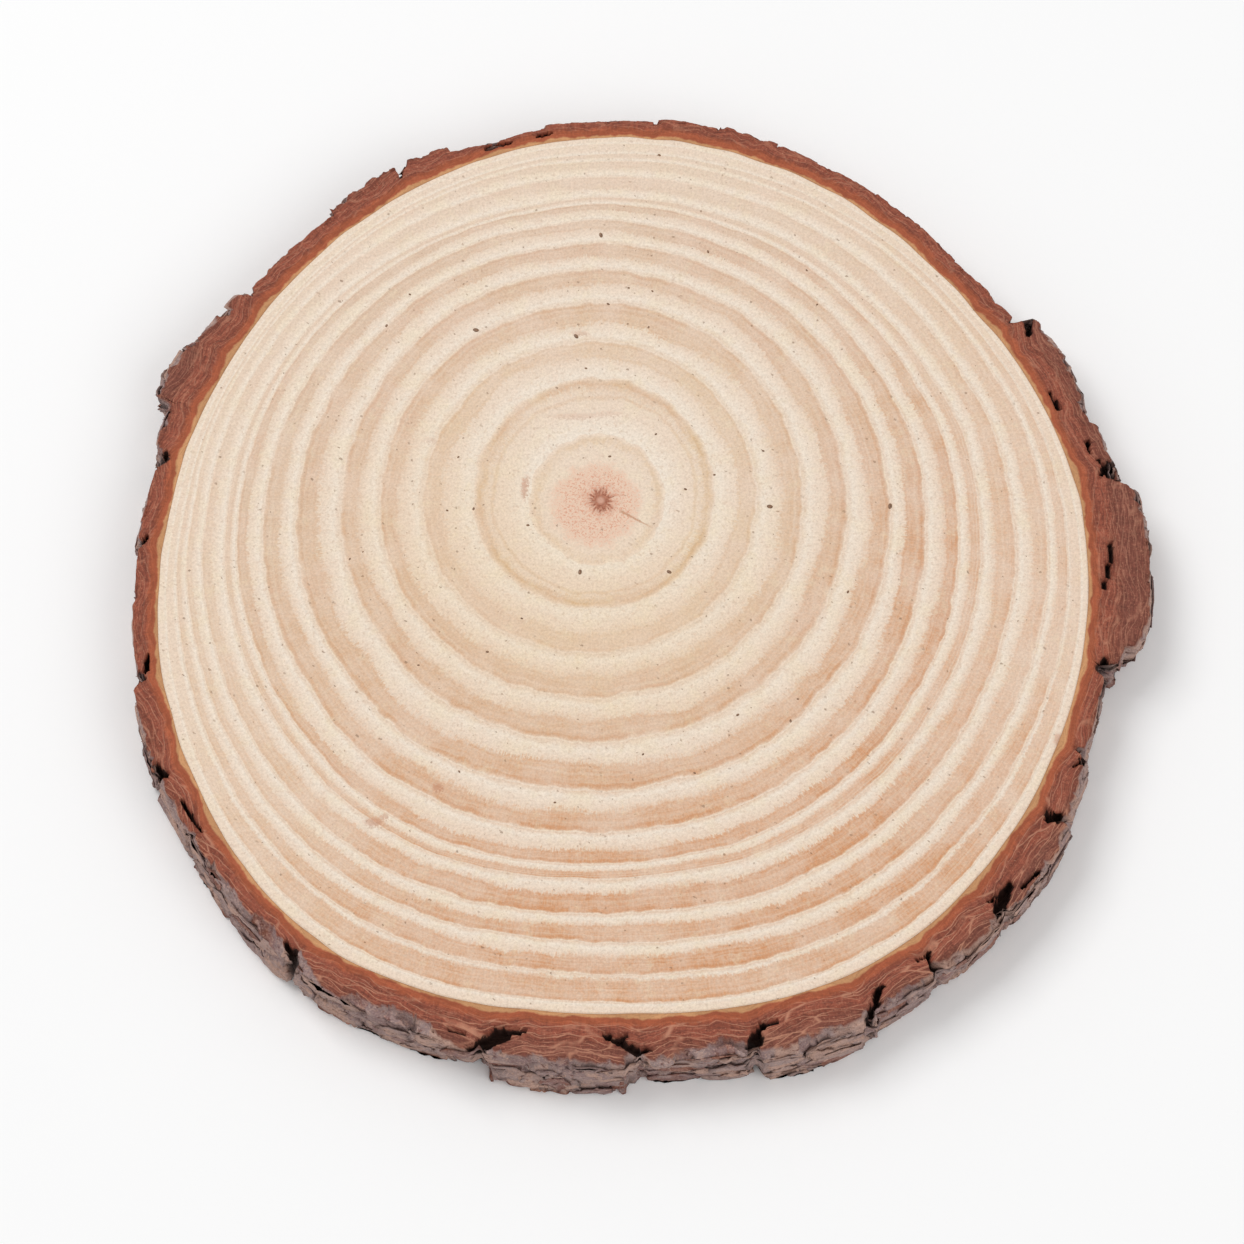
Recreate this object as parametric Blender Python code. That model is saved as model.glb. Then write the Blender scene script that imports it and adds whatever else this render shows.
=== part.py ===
"""A sawn slice of a young pine trunk with its bark on, lying flat on its underside.

It grew as one piece: a nearly round disc of annual growth inside a broken ring of bark plates.
Bearings are in degrees, counterclockwise seen from above, starting at +X. Distances out are measured
from the pith, the soft centre of the stem, which lies off the middle of the disc.
"""

import math

import bmesh
import bpy
from mathutils import Vector

MM = 0.001

# Driving dimensions, in millimetres.
THICKNESS = 10.0
# From the pith to the edge of the wood, one radius every 30 degrees, to the nearest half millimetre.
WOOD_RADII = (67.0, 60.0, 57.0, 55.5, 54.5, 55.5, 60.0, 67.5, 74.5, 74.0, 76.5, 72.5)
# The bark plates, one after another: the bearing where a plate begins, the bark's thickness there,
# its thickness where the plate ends, and how far the plate's foot stands out past its top edge.
BARK_PLATES = (
    (2.0, 7.3, 5.9, 0.3),
    (9.5, 5.1, 6.3, 0.4),
    (17.0, 6.6, 6.3, 0.1),
    (24.5, 3.9, 3.0, 0.0),
    (36.0, 3.3, 3.5, 0.2),
    (50.0, 3.2, 3.4, 0.0),
    (65.0, 3.9, 3.8, 0.3),
    (73.5, 3.3, 3.2, 0.0),
    (82.0, 2.7, 2.8, 0.2),
    (98.0, 2.4, 2.1, 0.0),
    (106.0, 2.3, 2.9, 0.3),
    (112.0, 3.9, 4.8, 0.5),
    (120.0, 4.5, 4.5, 0.2),
    (131.0, 3.2, 4.2, 0.1),
    (148.0, 5.0, 6.4, 0.5),
    (157.0, 7.0, 7.6, 0.2),
    (166.0, 5.4, 4.2, 0.4),
    (174.0, 3.4, 4.0, 0.5),
    (186.0, 3.4, 3.6, 0.3),
    (202.0, 4.2, 4.9, 0.4),
    (213.5, 4.6, 3.9, 0.8),
    (225.0, 4.0, 4.8, 1.0),
    (237.5, 5.0, 5.7, 0.2),
    (250.0, 5.5, 6.5, 0.3),
    (259.5, 6.4, 7.0, 2.0),
    (272.5, 6.4, 6.9, 0.6),
    (285.5, 7.5, 7.1, 0.9),
    (297.0, 6.3, 6.0, 0.7),
    (304.5, 6.1, 6.3, 0.2),
    (313.0, 6.6, 6.5, 0.1),
    (323.5, 5.8, 5.2, 0.3),
    (330.5, 4.0, 3.6, 0.3),
    (341.0, 8.2, 8.8, 0.2),
)
# Cracks that run in from the outside of the bark, down its whole height: bearing, width, depth.
FURROWS = (
    (25.4, 2.4, 1.6),
    (106.0, 3.2, 0.9),
    (119.9, 2.2, 2.0),
    (148.2, 2.4, 2.8),
    (174.0, 2.4, 1.6),
    (186.2, 2.2, 2.0),
    (202.0, 2.6, 2.4),
    (237.3, 2.6, 3.0),
    (259.3, 2.6, 3.6),
    (272.6, 2.8, 3.8),
    (285.3, 2.6, 4.0),
    (297.0, 2.6, 4.2),
    (304.3, 2.2, 3.2),
    (341.0, 2.8, 2.6),
)
# Pockets in the sawn edge of the bark, where its scales have parted:
# bearing, distance out from the wood, length along the bark, width across it.
POCKETS = (
    (4.0, 4.4, 2.8, 1.8),
    (213.4, 3.1, 2.2, 1.2),
    (313.8, 4.2, 3.2, 2.2),
    (323.5, 3.2, 2.2, 1.4),
    (353.5, 3.2, 7.0, 0.9),
)
POCKET_DEPTH = 4.0
# A pocket narrows downwards: its half width at the foot of its cutter and at the top, as shares of its size.
POCKET_FOOT = 0.3
POCKET_MOUTH = 0.5

BEARING_STEPS = 480
HEIGHT_STEPS = 5
POCKET_SIDES = 12
FLAT_ENOUGH = 0.99
SHARP_ANGLE = 35.0

SAWN_WOOD_COLOUR = (0.78, 0.60, 0.43, 1.0)
BARK_COLOUR = (0.23, 0.09, 0.055, 1.0)


def clear_scene():
    """Removes whatever objects the scene starts with."""
    for item in list(bpy.data.objects):
        bpy.data.objects.remove(item)


def make_collection(name):
    """A new collection in the scene."""
    collection = bpy.data.collections.new(name)
    bpy.context.scene.collection.children.link(collection)
    return collection


def make_material(name, colour, roughness):
    """A Principled material with one colour, for a dull surface."""
    material = bpy.data.materials.new(name)
    material.use_nodes = True
    shader = material.node_tree.nodes["Principled BSDF"]
    shader.inputs["Base Color"].default_value = colour
    shader.inputs["Roughness"].default_value = roughness
    shader.inputs["Metallic"].default_value = 0.0
    return material


def wood_radius(bearing):
    """The wood's radius at a bearing: a closed Catmull-Rom curve through WOOD_RADII."""
    count = len(WOOD_RADII)
    place = (bearing % 360.0) / 360.0 * count
    index = int(place)
    t = place - index
    before, here, after, beyond = (WOOD_RADII[(index + step) % count] for step in (-1, 0, 1, 2))
    slope_here = (after - before) / 2
    slope_after = (beyond - here) / 2
    return (
        (2 * t**3 - 3 * t**2 + 1) * here
        + (t**3 - 2 * t**2 + t) * slope_here
        + (3 * t**2 - 2 * t**3) * after
        + (t**3 - t**2) * slope_after
    )


def bark_plate(bearing):
    """The bark's thickness at a bearing, and how far its foot stands out there."""
    first_bearing = BARK_PLATES[0][0]
    turned = (bearing - first_bearing) % 360.0 + first_bearing
    ends = [plate[0] for plate in BARK_PLATES[1:]] + [first_bearing + 360.0]
    for (start, thick_start, thick_end, foot), end in zip(BARK_PLATES, ends):
        if turned < end:
            share = (turned - start) / (end - start)
            return thick_start + (thick_end - thick_start) * share, foot
    return BARK_PLATES[-1][2], BARK_PLATES[-1][3]


def furrow_depth(bearing, radius):
    """How far the cracks cut in at a bearing: each is a V, deepest in its middle."""
    deepest = 0.0
    for middle, width, depth in FURROWS:
        turn = (bearing - middle + 180.0) % 360.0 - 180.0
        away = abs(math.radians(turn)) * radius
        deepest = max(deepest, depth * (1.0 - away / (width / 2)))
    return deepest


def bark_radius(bearing, height):
    """The bark's outer radius at a bearing and at a height above the underside."""
    thickness, foot = bark_plate(bearing)
    radius = wood_radius(bearing) + thickness
    lowered = 1.0 - height / THICKNESS
    return radius + foot * lowered - furrow_depth(bearing, radius)


def polar(bearing, radius, height):
    """A point in metres, from the pith's foot, of a bearing, a radius and a height in millimetres."""
    angle = math.radians(bearing)
    return Vector((radius * math.cos(angle), radius * math.sin(angle), height)) * MM


def make_slice(collection, wood, bark):
    """The disc: a cylinder whose side is moved out to the bark's surface."""
    mesh = bpy.data.meshes.new("wood_slice")
    shape = bmesh.new()
    bmesh.ops.create_cone(
        shape, cap_ends=True, cap_tris=False, segments=BEARING_STEPS,
        radius1=1.0, radius2=1.0, depth=THICKNESS,
    )
    upright = [edge for edge in shape.edges if abs(edge.verts[0].co.z - edge.verts[1].co.z) > THICKNESS / 2]
    bmesh.ops.subdivide_edges(shape, edges=upright, cuts=HEIGHT_STEPS - 1, use_grid_fill=True)
    for vert in shape.verts:
        bearing = math.degrees(math.atan2(vert.co.y, vert.co.x))
        height = vert.co.z + THICKNESS / 2
        vert.co = polar(bearing, bark_radius(bearing, height), height)
    shape.normal_update()
    for face in shape.faces:
        face.material_index = 0 if abs(face.normal.z) > FLAT_ENOUGH else 1
    shape.to_mesh(mesh)
    shape.free()
    mesh.materials.append(wood)
    mesh.materials.append(bark)
    part = bpy.data.objects.new("wood_slice", mesh)
    collection.objects.link(part)
    return part


def make_pocket_cutter(number, pocket, collection):
    """One pocket's cutter: an oval post that reaches POCKET_DEPTH below the top face."""
    bearing, outward, length, width = pocket
    mesh = bpy.data.meshes.new(f"pocket_cutter_{number}")
    shape = bmesh.new()
    bmesh.ops.create_cone(
        shape, cap_ends=True, cap_tris=False, segments=POCKET_SIDES,
        radius1=POCKET_FOOT, radius2=POCKET_MOUTH, depth=2 * POCKET_DEPTH,
    )
    for vert in shape.verts:
        vert.co = Vector((vert.co.x * width, vert.co.y * length, vert.co.z)) * MM
    shape.to_mesh(mesh)
    shape.free()
    cutter = bpy.data.objects.new(f"pocket_cutter_{number}", mesh)
    cutter.location = polar(bearing, wood_radius(bearing) + outward, THICKNESS)
    cutter.rotation_euler.z = math.radians(bearing)
    cutter.hide_render = True
    cutter.display_type = "WIRE"
    collection.objects.link(cutter)
    return cutter


def cut_pockets(part, collection):
    """Cuts every pocket into the slice with a Boolean."""
    for number, pocket in enumerate(POCKETS, start=1):
        cutter = make_pocket_cutter(number, pocket, collection)
        cut = part.modifiers.new(f"pocket_{number}", "BOOLEAN")
        cut.operation = "DIFFERENCE"
        cut.solver = "EXACT"
        cut.object = cutter


def middle_of(part):
    """The middle of the part's box, in X and Y."""
    across = [vert.co.x for vert in part.data.vertices]
    along = [vert.co.y for vert in part.data.vertices]
    return Vector(((min(across) + max(across)) / 2, (min(along) + max(along)) / 2, 0.0))


def shade(part):
    """Smooth shading, with the sawn edges left sharp."""
    part.data.shade_smooth()
    part.data.set_sharp_from_angle(angle=math.radians(SHARP_ANGLE))


def build():
    """Makes the slice, with the middle of its underside at the origin."""
    clear_scene()
    parts = make_collection("wood_slice")
    cutters = make_collection("cutters")
    sawn_wood = make_material("sawn_wood", SAWN_WOOD_COLOUR, 0.75)
    bark = make_material("bark", BARK_COLOUR, 0.9)
    part = make_slice(parts, sawn_wood, bark)
    shade(part)
    cut_pockets(part, cutters)
    offset = middle_of(part)
    for item in list(parts.objects) + list(cutters.objects):
        item.location = item.location - offset


build()
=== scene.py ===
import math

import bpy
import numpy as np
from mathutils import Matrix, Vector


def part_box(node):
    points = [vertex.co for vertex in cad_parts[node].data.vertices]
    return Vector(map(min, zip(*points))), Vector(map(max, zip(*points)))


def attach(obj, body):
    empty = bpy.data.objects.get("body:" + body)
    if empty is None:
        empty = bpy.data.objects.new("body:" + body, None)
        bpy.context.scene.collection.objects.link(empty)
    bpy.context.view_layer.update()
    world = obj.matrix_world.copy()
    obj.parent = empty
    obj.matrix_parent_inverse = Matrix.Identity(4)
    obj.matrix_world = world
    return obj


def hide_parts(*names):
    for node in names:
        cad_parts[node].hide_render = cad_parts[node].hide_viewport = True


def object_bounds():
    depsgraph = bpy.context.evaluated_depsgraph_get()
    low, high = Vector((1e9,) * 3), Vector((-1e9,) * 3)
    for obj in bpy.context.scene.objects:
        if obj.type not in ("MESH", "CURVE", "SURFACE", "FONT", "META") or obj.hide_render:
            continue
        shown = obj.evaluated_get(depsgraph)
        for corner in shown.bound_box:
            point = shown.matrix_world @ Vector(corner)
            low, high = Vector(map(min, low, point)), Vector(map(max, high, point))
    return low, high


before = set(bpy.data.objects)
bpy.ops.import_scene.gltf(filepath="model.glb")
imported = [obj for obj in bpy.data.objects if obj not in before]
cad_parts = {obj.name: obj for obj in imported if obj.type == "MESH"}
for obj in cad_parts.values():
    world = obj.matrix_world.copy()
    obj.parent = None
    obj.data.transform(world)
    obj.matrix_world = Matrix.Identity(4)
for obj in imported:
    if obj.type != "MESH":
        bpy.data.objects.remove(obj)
cad_low, cad_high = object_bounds()

# The looks of a sawn slice of young pine with its bark on, lying on a pale floor.
#
# Shapes are surfaces worked out on grids, in millimetres, with the pith (the soft centre of the stem) as
# their middle; they are moved to the frame's place and to metres when their mesh is made. Bearings run
# counterclockwise seen from above, starting at +X.

MM = 0.001
TURN = 2 * math.pi

# ---------------- the slice's own measures, in mm

THICKNESS = (cad_high.z - cad_low.z) / MM
# From the pith to the edge of the wood, one radius every 30 degrees, to the nearest half millimetre.
WOOD_RADII = (67.0, 60.0, 57.0, 55.5, 54.5, 55.5, 60.0, 67.5, 74.5, 74.0, 76.5, 72.5)
# Where each year's growth ends, from the pith toward bearings 0, 90, 180 and 270, to the nearest half
# millimetre, with the share of the year's width where its brown latewood begins, and how dark that is.
YEARS = (
    ((9.0, 10.0, 10.0, 9.5), 0.90, 0.55),
    ((16.0, 18.5, 18.0, 16.0), 0.74, 0.80),
    ((22.0, 24.0, 25.0, 22.5), 0.54, 0.66),
    ((28.5, 30.0, 31.0, 29.0), 0.52, 0.84),
    ((34.5, 35.0, 36.5, 35.5), 0.52, 0.92),
    ((40.5, 39.0, 42.5, 42.5), 0.48, 0.94),
    ((45.5, 42.5, 47.0, 48.5), 0.48, 0.92),
    ((50.0, 45.0, 50.5, 53.0), 0.57, 0.94),
    ((53.0, 46.0, 52.0, 55.0), 0.50, 0.82),
    ((57.5, 49.5, 55.0, 60.0), 0.38, 1.00),
    ((62.0, 52.0, 57.0, 64.0), 0.44, 0.92),
    ((64.5, 53.0, 58.0, 68.5), 0.40, 0.96),
    ((66.0, 54.5, 59.0, 72.5), 0.18, 0.86),
)
# The bark plates, one after another: the bearing where a plate begins, the bark's thickness there,
# its thickness where the plate ends, how far the plate's foot stands out past its top edge, and how far
# its upper rim has broken away.
BARK_PLATES = (
    (2.0, 7.3, 5.9, 0.3, 0.3), (9.5, 5.1, 6.3, 0.4, 0.3), (17.0, 6.6, 6.3, 0.1, 0.3),
    (24.5, 3.9, 3.0, 0.0, 0.3), (36.0, 3.3, 3.5, 0.2, 0.3), (50.0, 3.2, 3.4, 0.0, 0.3),
    (65.0, 3.9, 3.8, 0.3, 0.3), (73.5, 3.3, 3.2, 0.0, 0.3), (82.0, 2.7, 2.8, 0.2, 0.3),
    (98.0, 2.4, 2.1, 0.0, 0.3), (106.0, 2.3, 2.9, 0.3, 0.3), (112.0, 3.9, 4.8, 0.5, 0.3),
    (120.0, 4.5, 4.5, 0.2, 0.3), (131.0, 3.2, 4.2, 0.1, 0.3), (148.0, 5.0, 6.4, 0.5, 0.5),
    (157.0, 7.0, 7.6, 0.2, 0.6), (166.0, 5.4, 4.2, 0.4, 0.5), (174.0, 3.4, 4.0, 0.5, 0.3),
    (186.0, 3.4, 3.6, 0.3, 0.3), (202.0, 4.2, 4.9, 0.4, 0.3), (213.5, 4.6, 3.9, 0.8, 0.8),
    (225.0, 4.0, 4.8, 1.0, 1.5), (237.5, 5.0, 5.7, 0.2, 1.2), (250.0, 5.5, 6.5, 0.3, 1.4),
    (259.5, 6.4, 7.0, 2.0, 0.5), (272.5, 6.4, 6.9, 0.6, 1.9), (285.5, 7.5, 7.1, 0.9, 1.3),
    (297.0, 6.3, 6.0, 0.7, 1.4), (304.5, 6.1, 6.3, 0.2, 1.1), (313.0, 6.6, 6.5, 0.1, 0.6),
    (323.5, 5.8, 5.2, 0.3, 0.7), (330.5, 4.0, 3.6, 0.3, 0.3), (341.0, 5.2, 5.6, 0.2, 0.3),
    (343.4, 7.0, 8.6, 0.2, 0.4), (347.0, 8.6, 8.9, 0.2, 0.2), (358.5, 8.9, 8.0, 0.2, 0.3),
)
# Furrows between the bark's plates, down its whole height: bearing, width, depth.
FURROWS = (
    (3.5, 2.4, 1.2), (25.0, 1.6, 1.8), (106.0, 2.6, 0.6), (119.5, 1.8, 1.2), (148.2, 2.2, 2.2),
    (157.2, 1.4, 1.0), (165.5, 1.6, 1.0), (174.2, 2.4, 2.0), (185.6, 1.8, 2.0), (202.6, 2.4, 2.3),
    (213.5, 1.6, 1.5), (221.0, 1.6, 1.2), (238.0, 2.4, 1.8), (258.2, 1.8, 1.7), (274.0, 1.4, 1.5),
    (284.9, 1.6, 1.9), (295.9, 1.8, 2.0), (304.0, 1.6, 2.4), (312.4, 2.2, 1.6), (323.8, 1.6, 1.4),
    (330.8, 1.6, 1.6), (340.5, 2.2, 2.4),
)
# Open cracks in the sawn edge of the bark, where its scales have parted. Each is a ragged slit from one
# end to the other: bearing, distance out from the wood and width there, and the same for its other end.
CRACKS = (
    (2.2, 5.8, 0.4, 3.6, 5.3, 1.6), (3.6, 5.3, 1.6, 5.0, 6.2, 0.7),
    (3.9, 5.2, 0.9, 3.2, 4.1, 0.3), (4.2, 5.0, 0.6, 5.2, 4.5, 0.5),
    (6.0, 3.7, 0.4, 7.4, 3.9, 0.6), (12.2, 2.1, 0.5, 14.7, 1.9, 0.4),
    (22.9, 4.3, 0.8, 24.7, 5.6, 1.2), (97.7, 1.5, 0.4, 99.5, 1.5, 0.6),
    (103.5, 1.4, 0.4, 107.0, 1.6, 0.7), (119.2, 4.4, 2.0, 119.9, 2.9, 0.6),
    (167.6, 4.5, 0.4, 169.0, 4.9, 0.5), (173.4, 2.6, 0.6, 174.8, 3.9, 1.1),
    (185.0, 2.7, 0.5, 185.8, 3.7, 1.0), (200.3, 1.8, 0.6, 201.9, 2.3, 0.5),
    (202.0, 3.6, 1.0, 203.0, 2.6, 0.6), (212.7, 4.3, 0.8, 213.9, 3.3, 0.7),
    (217.7, 2.9, 0.6, 219.5, 2.7, 0.6), (219.5, 2.7, 0.4, 221.6, 2.4, 0.3),
    (227.8, 5.5, 0.4, 230.0, 6.1, 0.4), (236.1, 2.9, 0.5, 237.3, 3.5, 0.9),
    (237.3, 3.5, 0.9, 238.2, 4.9, 1.0), (237.0, 5.3, 0.4, 239.0, 5.3, 0.5),
    (255.0, 4.3, 0.4, 256.5, 4.6, 0.4), (262.4, 3.0, 0.3, 259.8, 3.5, 1.0),
    (260.6, 3.9, 1.2, 258.4, 5.4, 1.7), (258.4, 5.4, 1.3, 257.7, 6.3, 0.7),
    (270.8, 3.1, 0.4, 272.0, 3.8, 1.3), (272.0, 3.8, 1.3, 273.5, 5.2, 1.1),
    (273.5, 5.2, 0.6, 275.4, 5.0, 0.3), (271.9, 3.4, 0.6, 272.9, 2.9, 0.2),
    (287.9, 2.9, 0.2, 286.2, 3.3, 0.6), (286.2, 3.3, 0.8, 285.3, 4.8, 1.7),
    (285.3, 4.8, 1.6, 284.8, 5.8, 0.9), (298.5, 3.3, 0.6, 297.6, 4.8, 1.1),
    (297.6, 4.8, 1.1, 295.7, 7.0, 0.6), (304.4, 3.1, 0.6, 303.9, 5.9, 1.2),
    (303.0, 3.0, 0.3, 304.3, 3.3, 0.5), (315.2, 4.1, 1.0, 312.8, 5.1, 1.6),
    (313.0, 5.1, 1.3, 312.2, 6.2, 0.8), (312.2, 3.5, 0.3, 314.0, 3.9, 0.7),
    (315.4, 5.7, 0.4, 318.2, 6.2, 0.3), (323.1, 3.2, 0.9, 323.9, 4.5, 1.1),
    (329.4, 3.6, 0.4, 330.0, 4.3, 0.6), (330.0, 3.8, 0.5, 330.9, 4.9, 0.5),
    (339.9, 4.4, 0.8, 341.2, 3.3, 1.1), (349.8, 2.5, 0.3, 352.4, 3.15, 0.6),
    (352.4, 3.15, 0.6, 355.8, 3.9, 0.3),
)
CRACK_DEPTH = 3.4
# How far the bark reaches in under the wood's edge, and how thin it may get.
BARK_OVERLAP = 0.06
THINNEST_BARK = 0.35
# The girth that patterns on the bark are laid out on, so that they close round the slice.
BARK_GIRTH_RADIUS = 72.0


# ---------------- numbers worked out on whole arrays


def closed_curve(values, bearing):
    """A closed cubic through evenly spaced values.

    Between two values it is a Hermite blend; the slope at each is half of the next value less the last.
    """
    values = np.asarray(values, float)
    place = np.mod(bearing, TURN) / TURN * len(values)
    index = np.floor(place).astype(int)
    t = place - index
    before, here, after, beyond = (values[(index + step) % len(values)] for step in (-1, 0, 1, 2))
    return (
        (2 * t**3 - 3 * t**2 + 1) * here
        + (t**3 - 2 * t**2 + t) * (after - before) / 2
        + (3 * t**2 - 2 * t**3) * after
        + (t**3 - t**2) * (beyond - here) / 2
    )


def scatter(*whole):
    """A repeatable number from 0 to 1 for whole numbers: they are multiplied by primes and mixed."""
    mixed = np.zeros(np.broadcast(*whole).shape, np.uint64)
    for number, prime in zip(whole, (73856093, 19349663, 83492791, 49979687)):
        mixed = mixed ^ (np.asarray(number, np.int64).astype(np.uint64) * np.uint64(prime))
    mixed = (mixed ^ (mixed >> np.uint64(13))) * np.uint64(1274126177) & np.uint64(0xFFFFFFFF)
    mixed = (mixed ^ (mixed >> np.uint64(16))) * np.uint64(2246822519) & np.uint64(0xFFFFFFFF)
    return (mixed ^ (mixed >> np.uint64(15))).astype(float) / 0xFFFFFFFF


def smooth(low, high, value):
    """0 below low and 1 above high, with the blend 3t² - 2t³ between them."""
    t = np.clip((value - low) / (high - low), 0.0, 1.0)
    return t * t * (3 - 2 * t)


def noise(x, y, z, seed):
    """Smooth noise from -1 to 1: scattered values at the corners of unit cubes, blended by 3t² - 2t³.

    The seed, a whole number of each pattern's own, sets its pattern apart from all the others.
    """
    corner = [np.floor(part).astype(np.int64) for part in (x, y, z)]
    blend = [smooth(0.0, 1.0, part - whole) for part, whole in zip((x, y, z), corner)]
    total = 0.0
    for i in (0, 1):
        for j in (0, 1):
            for k in (0, 1):
                weight = 1.0
                for step, share in zip((i, j, k), blend):
                    weight = weight * (share if step else 1 - share)
                total = total + weight * scatter(corner[0] + i, corner[1] + j, corner[2] + k, seed)
    return 2 * total - 1


def cells(x, y, z, seed):
    """Cells round scattered points: the nearest one's number, and how much nearer it is than the next.

    Each unit cube holds one point, placed in it by scatter().
    """
    corner = [np.floor(part).astype(np.int64) for part in (x, y, z)]
    nearest = np.full(np.shape(x), 9.0)
    second = np.full(np.shape(x), 9.0)
    label = np.zeros(np.shape(x))
    for step in np.ndindex(3, 3, 3):
        cell = [whole + move - 1 for whole, move in zip(corner, step)]
        away = np.sqrt(sum(
            (whole + scatter(*cell, seed + axis) - part) ** 2
            for axis, (whole, part) in enumerate(zip(cell, (x, y, z)))
        ))
        closer = away < nearest
        second = np.where(closer, nearest, np.minimum(second, away))
        label = np.where(closer, scatter(*cell, seed + 7), label)
        nearest = np.where(closer, away, nearest)
    return label, second - nearest


def wood_edge(bearing):
    """The wood's radius: WOOD_RADII's closed curve, plus ripples 0.15 mm deep and about 4 mm long."""
    ripple = noise(np.cos(bearing) * 15, np.sin(bearing) * 15, 0.0, 3)
    return closed_curve(WOOD_RADII, bearing) + 0.15 * ripple


def year_edge(index, bearing):
    """The radius where a year ends: (1 - w) x its own round curve + w x a share of the wood's radius.

    Both pass through the year's four measured radii; w = (index / last)^1.5, so rings near the pith stay
    round and outer ones follow the wood's edge. Index 0 is the pith and the last is the edge of the wood.
    A slow ripple keeps the rings from being even.
    """
    if index == 0:
        return np.zeros_like(bearing)
    if index > len(YEARS):
        return wood_edge(bearing)
    radii = np.array(YEARS[index - 1][0])
    quarters = np.arange(len(radii)) * TURN / len(radii)
    share = radii / closed_curve(WOOD_RADII, quarters)
    wood = closed_curve(WOOD_RADII, bearing)
    weight = (index / (len(YEARS) + 1)) ** 1.5
    edge = (1 - weight) * closed_curve(radii, bearing) + weight * wood * closed_curve(share, bearing)
    ripple = noise(np.cos(bearing) * 5, np.sin(bearing) * 5, index * 0.35, 5)
    ripple = 0.22 * ripple * min(1.0, index / 4)
    room = (len(YEARS) + 1 - index) / 3
    return edge + ripple * min(1.0, room)


def bark_plate(bearing):
    """The bark's thickness, its foot's overhang and its rim's wear at a bearing.

    The thickness runs straight from each plate's start to its end; the other two are the plate's own.
    """
    first = BARK_PLATES[0][0]
    turned = np.mod(np.degrees(bearing) - first, 360.0) + first
    starts = np.array([plate[0] for plate in BARK_PLATES])
    ends = np.append(starts[1:], first + 360.0)
    index = np.searchsorted(starts, turned, side="right") - 1
    share = (turned - starts[index]) / (ends[index] - starts[index])
    thick_start, thick_end, foot, wear = np.moveaxis(np.array(BARK_PLATES)[index], -1, 0)[1:]
    return thick_start + (thick_end - thick_start) * share, foot, wear


def pith_place():
    """Where the pith is in the frame: the CAD box's middle less the middle of the bark outline's box."""
    bearing = np.linspace(0, TURN, 480, endpoint=False)
    thickness, foot, _ = bark_plate(bearing)
    radius = closed_curve(WOOD_RADII, bearing) + thickness + foot
    across, along = radius * np.cos(bearing), radius * np.sin(bearing)
    middle = Vector(((across.min() + across.max()) / 2, (along.min() + along.max()) / 2, 0.0)) * MM
    low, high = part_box("wood_slice")
    return Vector(((low.x + high.x) / 2, (low.y + high.y) / 2, low.z)) - middle


PITH = pith_place()


# ---------------- meshes


def to_frame(points):
    """Points in mm from the foot of the pith, as metres in the frame."""
    return np.asarray(points, float).reshape(-1, 3) * MM + np.array(PITH)


def make_piece(name, points, faces, numbers):
    """A smooth-shaded mesh object at the origin, with one number per point under each name in numbers."""
    mesh = bpy.data.meshes.new(name)
    mesh.from_pydata(to_frame(points).tolist(), [], faces.tolist() if hasattr(faces, "tolist") else faces)
    for label, values in numbers.items():
        layer = mesh.attributes.new(label, "FLOAT", "POINT")
        layer.data.foreach_set("value", np.asarray(values, np.float32).ravel())
    mesh.polygons.foreach_set("use_smooth", np.ones(len(mesh.polygons), bool))
    mesh.update()
    piece = bpy.data.objects.new(name, mesh)
    bpy.context.scene.collection.objects.link(piece)
    return piece


def ring_faces(rows, columns, closed=False):
    """Quads between rows of points that each close on themselves; closed joins the last row to the first.

    A quad's corners are its own point, the one in the next row, that one's neighbour and its own neighbour.
    """
    row, column = np.meshgrid(np.arange(rows if closed else rows - 1), np.arange(columns), indexing="ij")
    after, beside = (row + 1) % rows, (column + 1) % columns
    corners = ((row, column), (after, column), (after, beside), (row, beside))
    return np.stack([(down * columns + along).ravel() for down, along in corners], axis=1)


# ---------------- sawn wood

WOOD_COLUMNS = 480
ROWS_A_YEAR = 6
PROUD_LATEWOOD = 0.04


def growth_rows(bearing):
    """Radii of rows from near the pith to the wood's edge, even inside each year, and their years."""
    edges = [year_edge(index, bearing) for index in range(len(YEARS) + 2)]
    radii, years = [], []
    for index in range(len(YEARS) + 1):
        for step in range(1, ROWS_A_YEAR + 1):
            share = step / ROWS_A_YEAR
            radii.append(edges[index] * (1 - share) + edges[index + 1] * share)
            years.append(index + share)
    return np.array(radii), np.array(years)


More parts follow.
